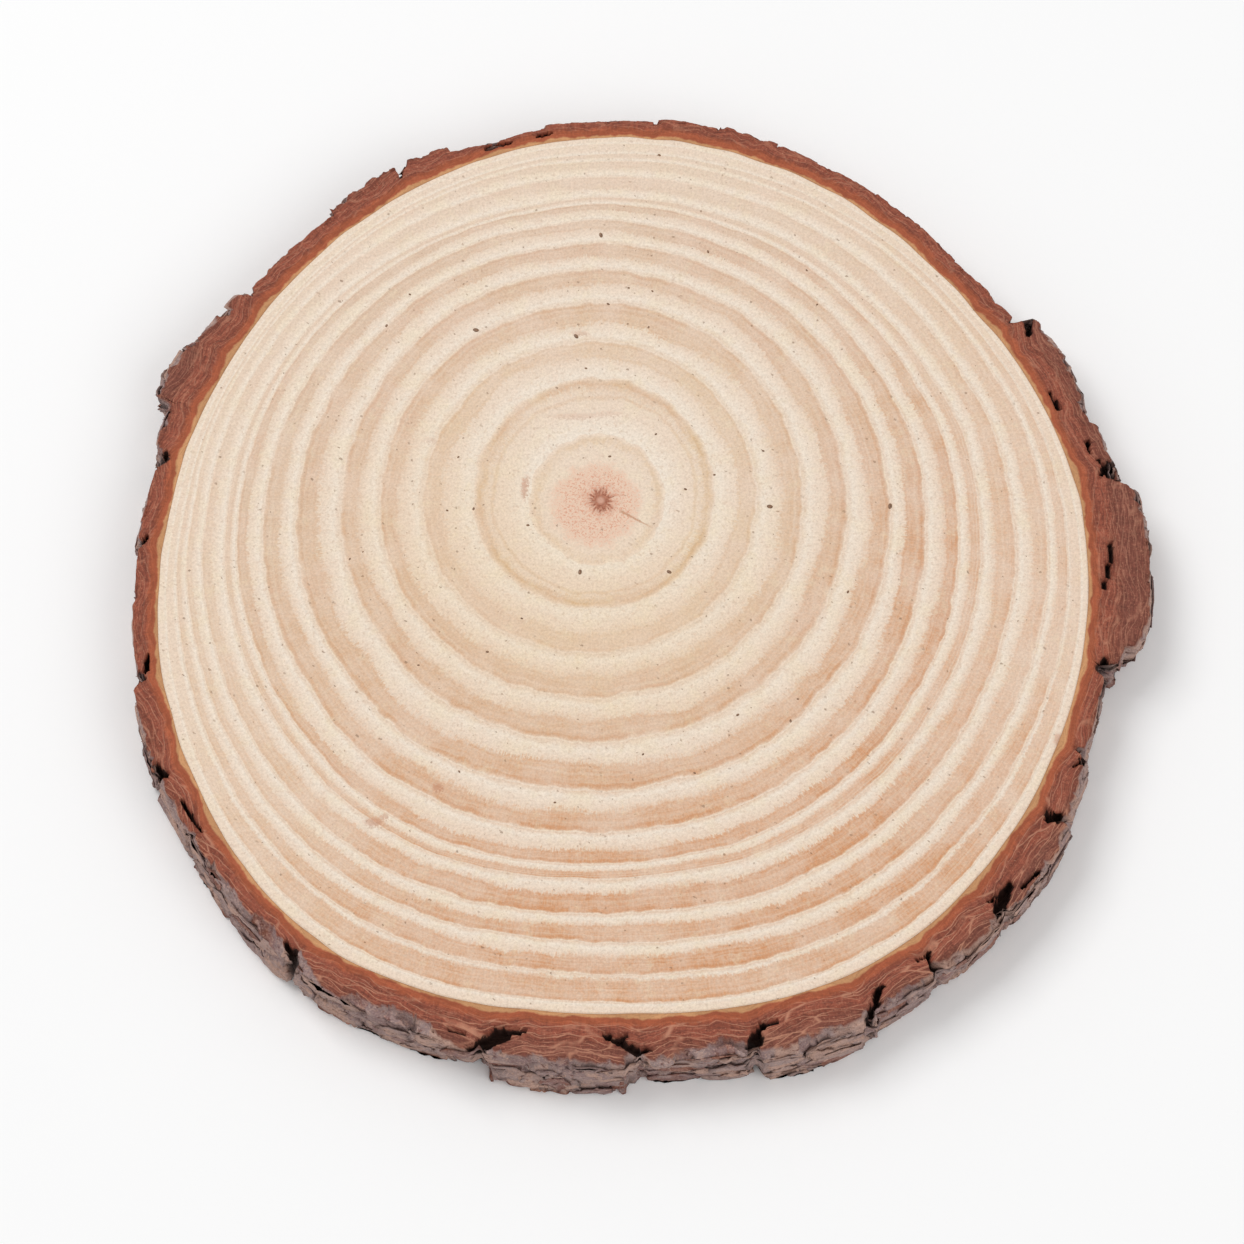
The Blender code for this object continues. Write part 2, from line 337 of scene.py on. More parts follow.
def make_sawn_wood():
    """The wood: radius(bearing, year) on both sawn faces, from a pole at the pith to the bark and back.

    Each face stands PROUD_LATEWOOD higher at a year's end than at its start, as brown latewood wears less.
    """
    bearing = np.linspace(0, TURN, WOOD_COLUMNS, endpoint=False)
    radii, years = growth_rows(bearing)
    rise = PROUD_LATEWOOD * (smooth(0.3, 0.8, years % 1) - 1)
    across, along = radii * np.cos(bearing), radii * np.sin(bearing)
    top = np.stack([across, along, THICKNESS + rise[:, None] + 0 * across], axis=2)
    under = np.stack([across, along, -rise[:, None] + 0 * across], axis=2)[::-1]
    rows = np.concatenate([top, under])
    year = np.concatenate([np.repeat(years, WOOD_COLUMNS), np.repeat(years[::-1], WOOD_COLUMNS)])
    count = rows.shape[0] * WOOD_COLUMNS
    points = np.concatenate([rows.reshape(-1, 3), [[0, 0, THICKNESS], [0, 0, 0]]])
    quads = ring_faces(rows.shape[0], WOOD_COLUMNS)
    here = np.arange(WOOD_COLUMNS)
    beside = (here + 1) % WOOD_COLUMNS
    last = count - WOOD_COLUMNS
    faces = quads.tolist()
    faces += np.stack([np.full_like(here, count), here, beside], axis=1).tolist()
    faces += np.stack([np.full_like(here, count + 1), last + beside, last + here], axis=1).tolist()
    return make_piece("sawn_wood", points, faces, {"year": np.append(year, [0.0, 0.0])})


# ---------------- bark

BARK_COLUMNS = 1800
CUT_ROWS = 19
SIDE_ROWS = 24
UNDER_ROWS = 10


def around_bark(bearing, size):
    """The bearing as a place on a circle BARK_GIRTH_RADIUS round, in units of size."""
    return np.cos(bearing) * BARK_GIRTH_RADIUS / size, np.sin(bearing) * BARK_GIRTH_RADIUS / size


def wandering(bearing, height):
    """The bearing a plate edge is read at: it wanders by up to 1.4 mm down the bark, and not at its top."""
    lowered = 1 - height / THICKNESS
    return bearing + 0.020 * lowered * noise(*around_bark(bearing, 9.0), height / 3.0, 11)


def furrow_turns(bearing):
    """How far a bearing is from each furrow's, in radians, with the furrow's width and depth."""
    for middle, width, depth in FURROWS:
        yield np.mod(bearing - math.radians(middle) + math.pi, TURN) - math.pi, width, depth


def furrow_depth(bearing, height, radius):
    """How deep the furrows are: each is a V with ragged walls, deepest in its middle, shallower on top."""
    deepest = np.zeros(np.broadcast(bearing, height).shape)
    ragged = 1 + 0.7 * noise(*around_bark(bearing, 0.8), height / 1.1, 13)
    for turn, width, depth in furrow_turns(bearing):
        away = np.abs(turn) * radius * ragged / (width / 2)
        deepest = np.maximum(deepest, depth * np.clip(1.15 - away**1.4, 0.0, 1.0))
    return deepest * (0.4 + 0.25 * smooth(THICKNESS, THICKNESS - 2.5, height))


def sagging(bearing):
    """How far the bark's layers sag outward, in mm: most by a furrow, where the plates' layers meet."""
    sag = 0.45 + 0.45 * noise(*around_bark(bearing, 7.0), 0.0, 71)
    for turn, _, _ in furrow_turns(bearing):
        away = np.hypot(turn * BARK_GIRTH_RADIUS, 1.2) - 1.2
        sag = np.maximum(sag, 1.7 * np.exp(-away / 2.8))
    return sag + 0.25 * noise(*around_bark(bearing, 1.9), 0.0, 73)


def wavering(bearing, outward, height):
    """The bearing a point of the bark is set at: everything wavers a little along the bark."""
    waver = 0.40 * noise(*around_bark(bearing, 1.7), outward / 1.3 + height / 2.5, 47)
    waver = waver + 0.2 * noise(*around_bark(bearing, 0.8), outward / 0.6 + height, 49)
    return bearing + waver * smooth(0.4, 1.6, outward) / BARK_GIRTH_RADIUS


def bark_surface(bearing, height):
    """The bark's outer radius, how deep each point is in a crevice (how dark the painted shade there is), and
    a number for each scale's tone.

    radius = wood + plate + overhang x (1 - height) - furrows + steps of large and small scales + roughness.
    A scale is a cell of scattered points, wider than tall, with one height and a groove round it. The steps
    are faint at the upper sawn edge and grow in the first millimetre below it.
    """
    wander = wandering(bearing, height)
    thickness, foot, _ = bark_plate(wander)
    vigour = 0.3 + 0.7 * smooth(2.0, 6.0, thickness)
    base = wood_edge(bearing) + thickness + foot * (1 - height / THICKNESS)
    furrow = furrow_depth(wander, height, base)
    bend = noise(*around_bark(bearing, 4.0), height / 3.5, 17)
    place = around_bark(bearing, 7.5)
    large, large_gap = cells(place[0] + 0.3 * bend, place[1] - 0.3 * bend, height / 5.0 + 0.4 * bend, 19)
    place = around_bark(bearing, 3.6)
    small, small_gap = cells(place[0] + 0.4 * bend, place[1] + 0.4 * bend, height / 2.1 - 0.5 * bend, 23)
    below = 0.25 + 0.75 * smooth(THICKNESS - 0.1, THICKNESS - 1.4, height)
    grooves = 0.75 * (1 - smooth(0.0, 0.07, large_gap)) + 0.35 * (1 - smooth(0.0, 0.08, small_gap))
    rough = 0.07 * noise(*around_bark(bearing, 0.7), height / 0.5, 29)
    slow = 0.35 * noise(*around_bark(bearing, 5.0), height / 9.0, 27)
    relief = 0.9 * (large - 0.6) + 0.5 * (small - 0.5) - 0.55 * grooves
    radius = base - furrow + slow * vigour + below * vigour * relief + rough
    # painted shade: furrows and the grooves round the scales get a darkness that the finish paints toward
    # near black
    crevice_shade = np.clip(smooth(0.1, 1.2, furrow) + 0.75 * below * grooves * vigour, 0, 1)
    radius = np.maximum(radius, wood_edge(bearing) + THINNEST_BARK)
    return radius, crevice_shade, np.clip(0.5 * large + 0.5 * small, 0, 1)


def crack_depth(bearing, outward):
    """How deep the open cracks are at a point of the sawn bark: steep-walled slits with ragged edges.

    The distance is measured to the straight line between a crack's ends, after both of the point's
    coordinates are shifted by noise, and set against half the width there.
    """
    depth = np.zeros(np.broadcast(bearing, outward).shape)
    along = 0.50 * noise(*around_bark(bearing, 1.1), outward / 0.8, 31)
    across = 0.17 * noise(*around_bark(bearing, 0.9), outward / 0.7, 33)
    for start, start_out, start_width, end, end_out, end_width in CRACKS:
        turn = np.mod(bearing - math.radians(start) + math.pi, TURN) - math.pi
        x = turn * BARK_GIRTH_RADIUS + along
        y = outward + across - start_out
        run = math.radians(end - start) * BARK_GIRTH_RADIUS
        rise = end_out - start_out
        share = np.clip((x * run + y * rise) / (run**2 + rise**2), 0, 1)
        half = (start_width + (end_width - start_width) * share) / 2
        away = np.hypot(x - share * run, y - share * rise) / half
        depth = np.maximum(depth, CRACK_DEPTH * (1 - smooth(0.75, 1.25, away)))
    return depth


def chips(bearing, left):
    """How deep the rim of the upper cut has broken away, in mm: steps of thin layers, deeper near the rim.

    A chip reaches in as far as the plate's wear and noise round the bark say; there the cut drops by layers.
    """
    thickness, _, wear = bark_plate(bearing)
    slow = noise(*around_bark(bearing, 5.5), 0.0, 53)
    quick = noise(*around_bark(bearing, 1.5), left / 1.2, 59)
    reach = (wear * (1 + 0.9 * slow) + 0.6 * quick) * smooth(2.6, 5.5, thickness)
    place = around_bark(bearing, 3.0)
    layer, _ = cells(place[0] + 0.3 * quick, place[1], left / 1.1, 61)
    gone = smooth(0.0, 0.22, reach - left)
    return gone * (0.35 + 2.6 * layer * smooth(-0.4, 1.6, reach - left))


def cut_rows(bearing, height, rows, top):
    """The sawn face of the bark: rows from the wood out to the bark's surface at that height.

    The face dips by up to 0.1 mm between layers, falls away in cracks, and crumbles or chips at its rim.
    """
    broken = chips(bearing, np.zeros_like(bearing)) if top else np.zeros_like(bearing)
    rim, rim_crevice_shade, tone = bark_surface(bearing, np.full_like(bearing, height) - broken)
    inner = wood_edge(bearing) - BARK_OVERLAP
    share = 1 - (1 - np.linspace(0, 1, rows))[:, None] ** 1.25
    radius = inner + (rim - inner) * share
    outward = radius - inner
    left = rim - radius
    turn = np.broadcast_to(bearing, radius.shape)
    place = around_bark(turn, 1.6)
    flake, gap = cells(place[0], place[1], outward / 0.7, 37 if top else 41)
    crumb = smooth(1.3, 0.0, left) * smooth(0.55, 0.95, flake)
    crumb = crumb * (0.2 + 0.4 * scatter(np.floor(flake * 999), 3)) * smooth(0.4, 1.2, outward)
    dip = 0.04 + 0.05 * noise(*around_bark(turn, 1.2), outward / 0.5, 43) * smooth(0.3, 1.0, outward)
    crack = crack_depth(turn, outward) if top else np.zeros_like(radius)
    chip = chips(turn, left) * smooth(0.5, 1.2, outward) if top else np.zeros_like(radius)
    fallen = np.maximum(np.clip(dip, 0.0, 1.0) + crumb + chip, crack) + 0.12 * smooth(0.4, 0.0, left)
    # painted shade: the sawn face darkens in its cracks, in crumbled spots and along its rim where the side's
    # crevices meet it
    edge_shade = rim_crevice_shade * smooth(0.9, 0.1, left) * 0.8
    crevice_shade = np.clip(smooth(0.1, 1.2, crack) + edge_shade + 0.2 * crumb, 0, 1)
    level = height - fallen if top else height + fallen
    weather = smooth(0.15, 0.4, chip)
    return radius, level, outward, crevice_shade, np.broadcast_to(tone, radius.shape), weather


def make_bark():
    """The bark: one profile carried round the slice, over the upper cut, down the side and back below."""
    bearing = np.linspace(0, TURN, BARK_COLUMNS, endpoint=False)
    top = cut_rows(bearing, THICKNESS, CUT_ROWS, True)
    under = [part[::-1] for part in cut_rows(bearing, 0.0, UNDER_ROWS, False)]
    rim, foot = top[1][-1], under[1][0]
    down = np.linspace(0, 1, SIDE_ROWS + 2)[1:-1, None]
    height = rim + (foot - rim) * down
    turn = np.broadcast_to(bearing, height.shape)
    radius, crevice_shade, tone = bark_surface(turn, height)
    side = (radius, height, radius - wood_edge(turn), crevice_shade, tone, np.ones_like(height))
    whole = [np.concatenate(parts) for parts in zip(top, side, under)]
    radius, level, outward, crevice_shade, tone, weather = whole
    flat = np.broadcast_to(bearing, radius.shape)
    turn = wavering(flat, outward, level)
    points = np.stack([radius * np.cos(turn), radius * np.sin(turn), level], axis=2)
    numbers = {
        "outward": outward,
        "sag": sagging(flat),
        # how much painted shade each point gets in the crevices
        "crevice_shade": crevice_shade,
        "scale_tone": tone,
        "weather": weather,
        "girth_x": np.cos(turn) * BARK_GIRTH_RADIUS,
        "girth_y": np.sin(turn) * BARK_GIRTH_RADIUS,
    }
    faces = ring_faces(radius.shape[0], BARK_COLUMNS, closed=True)
    return make_piece("bark", points, faces, numbers)


# ---------------- flakes of dead bark

FLAKES = 520
FLAKE_ROWS = 8
FLAKE_COLUMNS = 9


def make_bark_flakes():
    """Thin papery flakes on the bark's side: ragged ovals bent round the slice, rims lifted or tucked in.

    Each flake's front is a grid (u across, v along the trunk) pulled in to an oval: the half width at v is
    sqrt(1 - v²) times smooth noise, and the height at u wavers. It stands off the bark by its lift, a lean
    along v and a curl that grows as the fourth power of the distance from its middle. The back is set in.
    """
    draw = np.random.default_rng(20)
    bearing = draw.uniform(0, TURN, FLAKES)
    thickness = bark_plate(bearing)[0]
    kept = draw.uniform(0, 1, FLAKES) < smooth(2.0, 6.0, thickness) * 0.9 + 0.1
    bearing, thickness = bearing[kept], thickness[kept]
    count = len(bearing)
    middle = draw.uniform(0.3, THICKNESS - 1.6, count)
    half_tall = draw.uniform(0.8, 2.2, count)
    half_wide = draw.uniform(1.3, 4.0, count)
    lean = draw.uniform(-0.20, 0.06, count)
    lift = draw.uniform(-0.10, 0.20, count)
    curl = draw.uniform(-0.25, 0.45, count)
    depth = draw.uniform(0.18, 0.36, count)
    number = np.arange(count)[:, None, None] * 3.7
    u, v = np.meshgrid(np.linspace(-1, 1, FLAKE_COLUMNS), np.linspace(-1, 1, FLAKE_ROWS))
    u, v = (np.broadcast_to(part, (count, FLAKE_ROWS, FLAKE_COLUMNS)) for part in (u, v))
    ragged_u = noise(number, v * 2.2 + 9, np.sign(u) * 4.0, 63)
    ragged_v = noise(number + 50, u * 2.6 + 9, np.sign(v) * 4.0, 65)
    oval_u = u * np.sqrt(1 - 0.5 * v**2) * (1 + 0.30 * ragged_u)
    oval_v = v * np.sqrt(1 - 0.5 * u**2) * (1 + 0.30 * ragged_v)
    wide, tall, at, lifted = (part[:, None, None] for part in (half_wide, half_tall, bearing, lift))
    turn = at + oval_u * wide / BARK_GIRTH_RADIUS
    height = np.clip(middle[:, None, None] + oval_v * tall, 0.04, THICKNESS - 0.9)
    ground = bark_surface(bearing, middle)[0][:, None, None]
    shell = closed_curve(WOOD_RADII, turn) - closed_curve(WOOD_RADII, at)
    reach = np.clip(np.hypot(oval_u, oval_v), 0, 1.3)
    out = ground + shell + lifted + lean[:, None, None] * oval_v * tall
    out = out + curl[:, None, None] * reach**4 + 0.12 * noise(number, oval_u * 2.5, oval_v * 2.5, 67)
    surface = bark_surface(turn, height)[0]
    out = np.clip(out, surface - 0.6, surface + lifted + 0.40)
    faces_out = np.stack([out * np.cos(turn), out * np.sin(turn), height], axis=3)
    rim = np.maximum(np.abs(u), np.abs(v)) > 0.99
    back = out - depth[:, None, None] * np.where(rim, 0.45, 1.0)
    faces_in = np.stack([back * np.cos(turn), back * np.sin(turn), height], axis=3)
    size = FLAKE_ROWS * FLAKE_COLUMNS
    points = np.concatenate([faces_out.reshape(count, size, 3), faces_in.reshape(count, size, 3)], axis=1)
    front = grid_quads(FLAKE_ROWS, FLAKE_COLUMNS)
    around = rim_loop(FLAKE_ROWS, FLAKE_COLUMNS)
    beside = np.roll(around, -1)
    walls = np.stack([around + size, beside + size, beside, around], axis=1)
    one = np.concatenate([front, front[:, ::-1] + size, walls])
    faces = (one[None] + (np.arange(count) * 2 * size)[:, None, None]).reshape(-1, 4)
    tone = np.repeat(draw.uniform(0, 1, count), 2 * size)
    # painted shade: each flake darkens toward its rim and on its back, which faces the bark
    edge_shade = np.concatenate([0.35 * reach.reshape(count, size) ** 3, np.full((count, size), 0.6)], axis=1)
    return make_piece("bark_flakes", points, faces, {"scale_tone": tone, "crevice_shade": edge_shade})


def grid_quads(rows, columns):
    """Quads of an open grid of points, counterclockwise when columns run right and rows run up."""
    row, column = np.meshgrid(np.arange(rows - 1), np.arange(columns - 1), indexing="ij")
    first = (row * columns + column).ravel()
    return np.stack([first, first + 1, first + columns + 1, first + columns], axis=1)


def rim_loop(rows, columns):
    """The outer points of a grid, counterclockwise."""
    bottom = np.arange(columns)
    right = np.arange(1, rows) * columns + columns - 1
    top = (rows - 1) * columns + np.arange(columns - 2, -1, -1)
    left = np.arange(rows - 2, 0, -1) * columns
    return np.concatenate([bottom, right, top, left])


# ---------------- resin canals

# The larger specks of resin on the upper face: bearing, distance from the pith, length in mm.
RESIN_SPECKS = (
    (8.0, 12.0, 0.5), (13.5, 16.4, 0.4), (18.0, 24.0, 0.4), (52.0, 12.6, 0.4), (44.0, 42.6, 0.4),
    (50.0, 45.5, 0.4), (68.0, 40.7, 0.5), (75.5, 27.0, 0.4), (77.0, 32.5, 0.4), (79.0, 6.7, 0.5),
    (81.0, 53.4, 0.5), (83.0, 32.4, 0.4), (88.0, 29.7, 0.5), (90.0, 40.3, 0.8), (96.0, 20.0, 0.4),
    (98.0, 25.0, 0.8), (124.5, 31.2, 0.9), (131.0, 41.3, 0.4), (139.0, 40.2, 0.5), (162.0, 21.0, 0.4),
    (184.0, 17.8, 0.5), (184.0, 21.5, 0.4), (194.0, 36.0, 0.4), (193.0, 34.0, 0.3), (200.0, 10.8, 0.5),
    (224.0, 35.0, 0.4), (235.0, 27.3, 0.5), (238.0, 20.6, 0.4), (244.0, 44.2, 0.4), (255.0, 11.0, 0.8),
    (262.0, 44.6, 0.4), (279.0, 37.7, 0.4), (288.0, 42.0, 0.4), (301.0, 36.8, 0.5), (309.0, 41.7, 0.5),
    (312.0, 14.3, 0.8), (313.0, 40.0, 0.4), (338.5, 37.0, 0.5), (357.8, 23.7, 0.9), (358.8, 40.5, 0.9),
)
SPECK_SIDES = 10


def make_resin_specks():
    """Beads of dried resin in the larger canals: low domes, each of three oval rings, turned at random."""
    bearing, radius, length = np.array(RESIN_SPECKS).T
    bearing = np.radians(bearing)
    turn = np.linspace(0, TURN, SPECK_SIDES, endpoint=False)
    draw = np.random.default_rng(4)
    slant = draw.uniform(0, TURN, len(length))[:, None]
    cosine, sine = np.cos(slant), np.sin(slant)
    rings = []
    for reach, rise in ((1.0, -0.10), (0.95, 0.0), (0.55, 0.035)):
        along = reach * length[:, None] / 2 * np.cos(turn)
        across = reach * length[:, None] * 0.32 * np.sin(turn)
        x = (radius * np.cos(bearing))[:, None] + along * cosine - across * sine
        y = (radius * np.sin(bearing))[:, None] + along * sine + across * cosine
        rings.append(np.stack([x, y, np.full_like(x, THICKNESS + rise)], axis=2))
    points = np.stack(rings, axis=1)
    here = np.arange(SPECK_SIDES)
    beside = (here + 1) % SPECK_SIDES
    walls = [
        np.stack([here + low, beside + low, beside + low + SPECK_SIDES, here + low + SPECK_SIDES], axis=1)
        for low in (0, SPECK_SIDES)
    ]
    faces = []
    for number in range(len(length)):
        first = number * 3 * SPECK_SIDES
        faces += (np.concatenate(walls) + first).tolist()
        faces.append((here + first + 2 * SPECK_SIDES).tolist())
        faces.append((here[::-1] + first).tolist())
    return make_piece("resin_specks", points, faces, {})


# ---------------- materials


def colour(red, green, blue):
    """A screen colour, 0 to 255, as the linear colour a shader takes."""
    def linear(value):
        value = value / 255
        return value / 12.92 if value <= 0.04045 else ((value + 0.055) / 1.055) ** 2.4
    return linear(red), linear(green), linear(blue), 1.0


def sign(operation, turned=False):
    """A plain sign between two numbers, as one Math node; turned when a plain value stands first."""
    def apply(number, other):
        return number.finish.math(operation, *((other, number) if turned else (number, other)))
    return apply


class Number:
    """A number that a node gives; each plain sign used on it adds one Math node."""

    def __init__(self, finish, socket):
        self.finish = finish
        self.socket = socket

    def __abs__(self):
        return self.finish.math("ABSOLUTE", self)

    __add__ = sign("ADD")
    __sub__ = sign("SUBTRACT")
    __rsub__ = sign("SUBTRACT", turned=True)
    __mul__ = sign("MULTIPLY")
    __truediv__ = sign("DIVIDE")


class Finish:
    """One material's node tree, with short ways to add to it. Nodes' outputs and plain values both do."""

    def __init__(self, name):
        self.material = bpy.data.materials.new(name)
        self.material.use_nodes = True
        self.tree = self.material.node_tree
        self.shader = self.tree.nodes["Principled BSDF"]

    def feed(self, socket, value):
        """Links a socket, or sets its value."""
        if isinstance(value, Number):
            value = value.socket
        if isinstance(value, bpy.types.NodeSocket):
            self.tree.links.new(value, socket)
        else:
            socket.default_value = value

    def add(self, kind, inputs=(), **settings):
        """A new node with its settings, and its inputs by name or number."""
        node = self.tree.nodes.new(kind)
        for name, value in settings.items():
            setattr(node, name, value)
        for name, value in dict(inputs).items():
            self.feed(node.inputs[name], value)
        return node

    def math(self, operation, *values):
        """One Math node."""
        node = self.add("ShaderNodeMath", dict(enumerate(values)), operation=operation)
        return Number(self, node.outputs[0])

    def vector(self, operation, *values):
        """One Vector Math node: a number for a length or a dot product, and otherwise a vector."""
        node = self.add("ShaderNodeVectorMath", dict(enumerate(values)), operation=operation)
        if operation in ("LENGTH", "DOT_PRODUCT"):
            return Number(self, node.outputs["Value"])
        return node.outputs["Vector"]

    def scaled(self, vector, factor):
        """A vector times a number."""
        inputs = {"Vector": vector, "Scale": factor}
        return self.add("ShaderNodeVectorMath", inputs, operation="SCALE").outputs[0]

    def joined(self, x, y, z):
        """Three numbers as a vector."""
        return self.add("ShaderNodeCombineXYZ", {"X": x, "Y": y, "Z": z}).outputs[0]

    def attribute(self, name):
        """A piece's own number at each point."""
        return Number(self, self.add("ShaderNodeAttribute", attribute_name=name).outputs["Fac"])

    def fade(self, value, low, high, start=0.0, end=1.0):
        """Smoothly from start to end as value goes from low to high."""
        inputs = {"Value": value, "From Min": low, "From Max": high, "To Min": start, "To Max": end}
        node = self.add("ShaderNodeMapRange", inputs, interpolation_type="SMOOTHSTEP")
        return Number(self, node.outputs["Result"])

    def mix(self, factor, first, second, blend="MIX"):
        """Two colours mixed."""
        node = self.add("ShaderNodeMix", data_type="RGBA", blend_type=blend)
        for index, value in ((0, factor), (6, first), (7, second)):
            self.feed(node.inputs[index], value)
        return node.outputs[2]

    def tint(self, base, shade, value, low, high, most):
        """The base with another colour mixed in: none of it at low, and its share is `most` at high."""
        return self.mix(self.fade(value, low, high, 0.0, most), base, shade)

    def noise(self, place, scale, detail=2.0, roughness=0.5):
        """Noise from 0 to 1."""
        inputs = {"Vector": place, "Scale": scale, "Detail": detail, "Roughness": roughness}
        return Number(self, self.add("ShaderNodeTexNoise", inputs).outputs["Fac"])

    def ramp(self, value, stops, interpolation="LINEAR"):
        """A ramp of (place, colour) stops."""
        node = self.add("ShaderNodeValToRGB", {"Fac": value})
        node.color_ramp.interpolation = interpolation
        while len(node.color_ramp.elements) < len(stops):
            node.color_ramp.elements.new(1.0)
        for element, (place, shade) in zip(node.color_ramp.elements, stops):
            element.position = place
            element.color = shade
        return node.outputs["Color"]

    def steps(self, value, numbers):
        """The numbers in turn, each over an equal part of the way from 0 to 1."""
        stops = [(i / len(numbers), grey(number)) for i, number in enumerate(numbers)]
        return Number(self, self.ramp(value, stops, "CONSTANT"))

    def bumps(self, *layers):
        """Bump nodes in a row: (height, strength, distance in metres) each."""
        normal = None
        for height, strength, distance in layers:
            inputs = {"Height": height, "Strength": strength, "Distance": distance}
            node = self.add("ShaderNodeBump", inputs)
            if normal is not None:
                self.feed(node.inputs["Normal"], normal)
            normal = node.outputs["Normal"]
        self.feed(self.shader.inputs["Normal"], normal)

    def finish(self, base, roughness, specular=0.3):
        """Sets the shader's colour, roughness and specular level, and gives the material."""
        self.feed(self.shader.inputs["Base Color"], base)
        self.feed(self.shader.inputs["Roughness"], roughness)
        self.shader.inputs["Specular IOR Level"].default_value = specular
        return self.material


def grey(value):
    """A grey for ramps that carry a number."""
    return value, value, value, 1.0


PALE_EARLYWOOD = colour(241, 227, 210)
EARLYWOOD = colour(238, 218, 198)
STRAW = colour(240, 223, 197)
FLECK = colour(214, 188, 166)
LATEWOOD = colour(216, 178, 146)
WARM_LATEWOOD = colour(211, 153, 112)
COOL_LATEWOOD = colour(218, 191, 168)
PINK_LATEWOOD = colour(220, 184, 160)
HEART_LATEWOOD = colour(219, 186, 148)
TINT_PINK = colour(232, 204, 182)
TINT_STRAW = colour(236, 217, 186)
LOW_TINT = (0.985, 0.955, 0.90, 1.0)
HEART_PINK = colour(240, 207, 182)
HEART_SPECK = colour(206, 140, 112)
PITH_BROWN = colour(158, 88, 62)
PITH_MIDDLE = colour(216, 168, 146)
CHECK_BROWN = colour(196, 146, 114)
RESIN_BROWN = colour(132, 98, 72)


def place_in_slice(finish):
    """Places in mm from the pith's foot, the same laid flat, their distance and their unit vector."""
    where = finish.add("ShaderNodeTexCoord").outputs["Object"]
    place = finish.scaled(finish.vector("SUBTRACT", where, tuple(PITH)), 1 / MM)
    flat = finish.vector("MULTIPLY", place, (1.0, 1.0, 0.0))
    return place, flat, finish.vector("LENGTH", flat), finish.vector("NORMALIZE", flat)


def ray_noise(finish, direction, radius, around, inward, detail):
    """Noise drawn out along the rays: `around` cells to a radian, and `inward` cells to a mm."""
    outward = finish.joined(0.0, 0.0, radius * inward)
    return finish.noise(finish.vector("ADD", finish.scaled(direction, around), outward), 1.0, detail)


# The last, unfinished year: where its latewood begins and how dark it is.
LAST_BEGIN = 0.88
LAST_DEPTH = 0.40
# A thin brown line inside the second year: the year and the share of it.
SECOND_YEAR_LINE = 1.64
# Ways across the slice, for looks that differ from side to side.
FRONT = (0.17, -0.985, 0.0)
LEFT = (-0.95, 0.30, 0.0)
LOWER_RIGHT = (0.50, -0.86, 0.0)
LOWER_LEFT = (-0.42, -0.91, 0.0)
# The drying check's own way and the way across it.
CHECK_ALONG = (0.870, -0.493, 0.0)
CHECK_ACROSS = (0.493, 0.870, 0.0)


def latewood(finish, year, flat, direction, rays, teeth):
    """How brown the growth is: light at a year's start, brown from its latewood on, darker at both edges.

    A year's brown band begins sooner or later, and is paler or darker, from place to place round the slice:
    the outer years' bands are strongest at the front, and begin later at the left.
    """
    whole = finish.math("FLOOR", year)
    part = finish.math("FRACT", year)
    key = (whole + 0.5) / (len(YEARS) + 1)
    begin = finish.steps(key, [begin for _, begin, _ in YEARS] + [LAST_BEGIN])
    depth = finish.steps(key, [depth for _, _, depth in YEARS] + [LAST_DEPTH])
    own = finish.vector("ADD", flat, finish.joined(0.0, 0.0, whole * 37.0))
    drift = finish.noise(own, 0.055, 2.0) - 0.5
    patch = finish.noise(own, 0.21, 3.0, 0.6)
    begin = begin + drift * 0.50
    front = finish.vector("DOT_PRODUCT", direction, FRONT)
    left = finish.fade(finish.vector("DOT_PRODUCT", direction, LEFT), 0.0, 0.9, 0.0, 0.20)
    late_years = finish.fade(year, 8.0, 9.5)
    begin = begin + left * late_years
    weak = finish.fade(front, 0.5, 0.95, 0.38, 0.0) * late_years
    last_band = finish.math("COMPARE", whole, len(YEARS) - 1, 0.5)
    gone = finish.fade(front, 0.25, 0.85, 0.72, 0.0) * last_band
    depth = depth * (1.0 - finish.math("MAXIMUM", weak, gone))
    soft = finish.fade(finish.noise(own, 0.10, 1.0), 0.35, 0.65, 0.04, 0.15)
    jagged = part + (rays - 0.5) * 0.32 + (teeth - 0.5) * 0.36
    early = finish.fade(part, 0.1, begin, 0.0, 0.13)
    late = finish.fade(jagged, begin - soft, begin + soft, 0.0, 0.60)
    closing = part + (teeth - 0.5) * 0.07
    ended = finish.fade(closing, 0.925, 1.0, 1.0, 0.0)
    lines = finish.noise(finish.joined(year * 10.0, drift, whole), 1.0, 3.0, 0.65)
    late = late * finish.fade(lines, 0.3, 0.7, 0.72, 1.24)
    late = late * finish.fade(patch, 0.3, 0.7, 0.70, 1.25)
    inner = abs(part - (begin + 0.06))
    outer = abs(part - 0.90)
    inner = finish.fade(inner, 0.0, 0.06, 0.18, 0.0) * finish.fade(patch, 0.62, 0.4)
    outer = finish.fade(outer, 0.0, 0.08, 0.24, 0.0) * finish.fade(patch, 0.35, 0.55)
    thin = finish.fade(lines, 0.58, 0.70, 0.0, 0.12)
    total = early + late + inner + outer + thin
    second = abs(year + (teeth - 0.5) * 0.06 - SECOND_YEAR_LINE)
    total = total + finish.fade(second, 0.0, 0.06, 0.42, 0.0)
    total = total * finish.fade(rays, 0.3, 0.7, 1.10, 0.90)
    total = total * finish.fade(teeth, 0.3, 0.7, 0.88, 1.12)
    total = total * ended * depth
    tail = finish.fade(closing, 0.0, 0.15, 0.34, 0.0) * finish.fade(year, 1.5, 3.0)
    return finish.math("MAXIMUM", total, tail), part, patch


